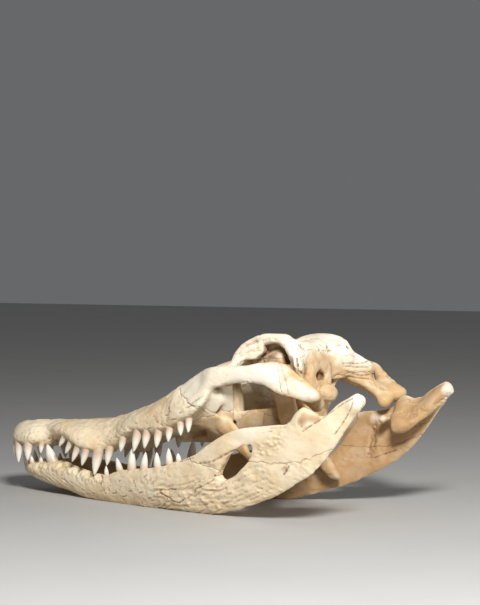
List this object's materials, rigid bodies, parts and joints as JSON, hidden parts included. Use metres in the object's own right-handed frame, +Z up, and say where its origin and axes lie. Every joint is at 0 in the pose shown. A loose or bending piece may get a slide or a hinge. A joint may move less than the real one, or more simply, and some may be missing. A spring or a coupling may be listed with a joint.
{
  "type": "crocodile skull",
  "caption": "Dry crocodile skull, cranium resting a little askew on its lower jaw, with the teeth in place.",
  "frame": {"origin": "bottom centre of the box around the whole skull, on the surface that it rests on", "axes": "+X from the snout towards the back of the jaws, +Y to the animal's right, +Z up"},
  "size_m": [0.6065, 0.2589, 0.2212],
  "materials": {
    "ivory_bone": "dry matt bone, ivory",
    "pale_bone": "dry matt bone, nearly white",
    "tan_bone": "dry matt bone, tan",
    "enamel": "smooth tooth enamel"
  },
  "bodies": {
    "root": {"premaxilla": "ivory_bone", "frontal": "ivory_bone", "maxilla_left": "ivory_bone", "maxilla_right": "ivory_bone", "dentary_left": "ivory_bone", "dentary_right": "ivory_bone", "surangular_left": "ivory_bone", "surangular_right": "ivory_bone", "angular_left": "ivory_bone", "angular_right": "ivory_bone", "skull_table": "pale_bone", "jugal_left": "pale_bone", "jugal_right": "pale_bone", "nasal": "tan_bone", "palatine": "tan_bone", "pterygoid": "tan_bone", "braincase": "tan_bone", "quadrate_left": "tan_bone", "quadrate_right": "tan_bone", "ectopterygoid_left": "tan_bone", "ectopterygoid_right": "tan_bone", "articular_left": "tan_bone", "articular_right": "tan_bone"}
  },
  "joints": []
}
